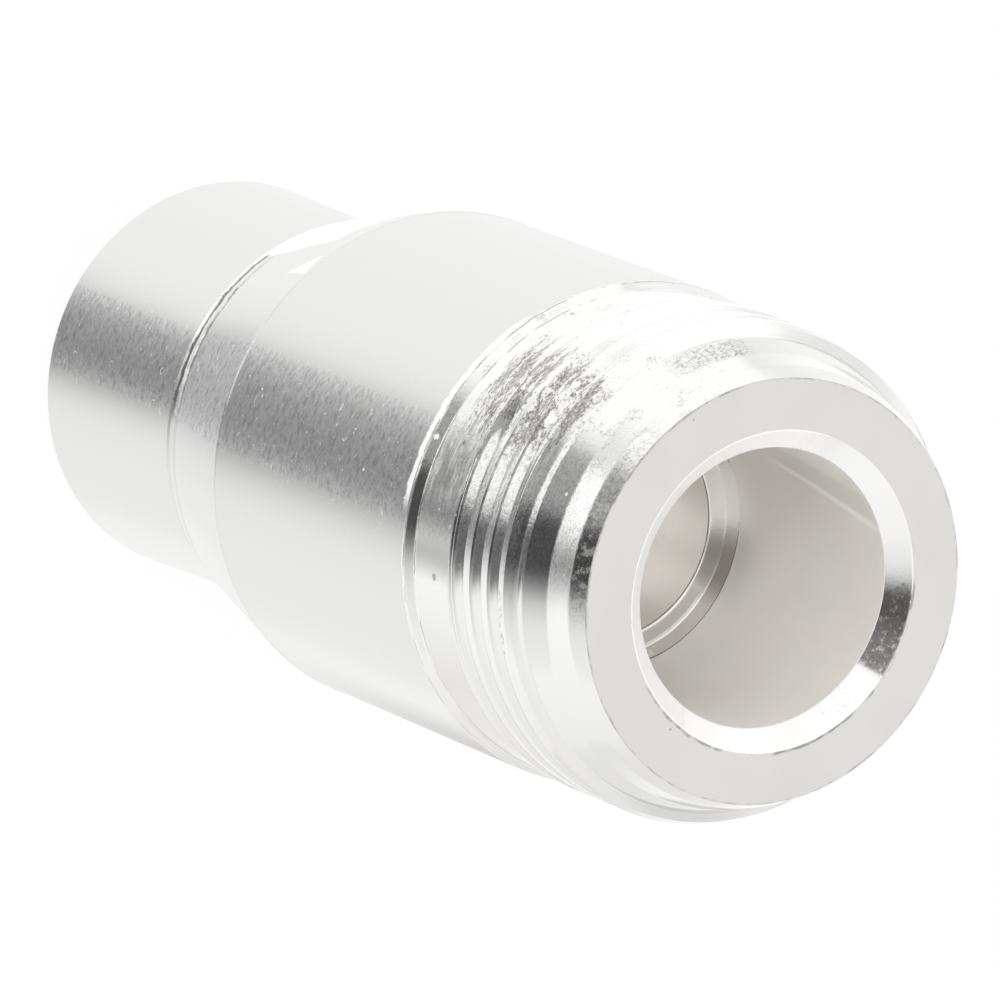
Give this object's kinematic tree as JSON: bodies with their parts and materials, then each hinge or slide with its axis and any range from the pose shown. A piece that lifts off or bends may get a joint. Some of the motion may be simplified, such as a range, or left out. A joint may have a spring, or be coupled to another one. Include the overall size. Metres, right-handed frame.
{
  "type": "coaxial connector shell",
  "caption": "Empty turned metal shell of a threaded coaxial jack: stepped bore, fine outside thread at the front, plain body, coned shoulder and narrow rear barrel.",
  "frame": {"origin": "centre of the rear rim, on the surface that the part stands on", "axes": "+Z along the axis from the rear rim to the threaded front face; X and Y are free about the axis"},
  "size_m": [0.016, 0.016, 0.0348],
  "materials": {
    "silver_plate": "satin silver plate over brass, brighter on the thread, collar and bevels"
  },
  "bodies": {
    "root": {"connector_body": "silver_plate"}
  },
  "joints": []
}
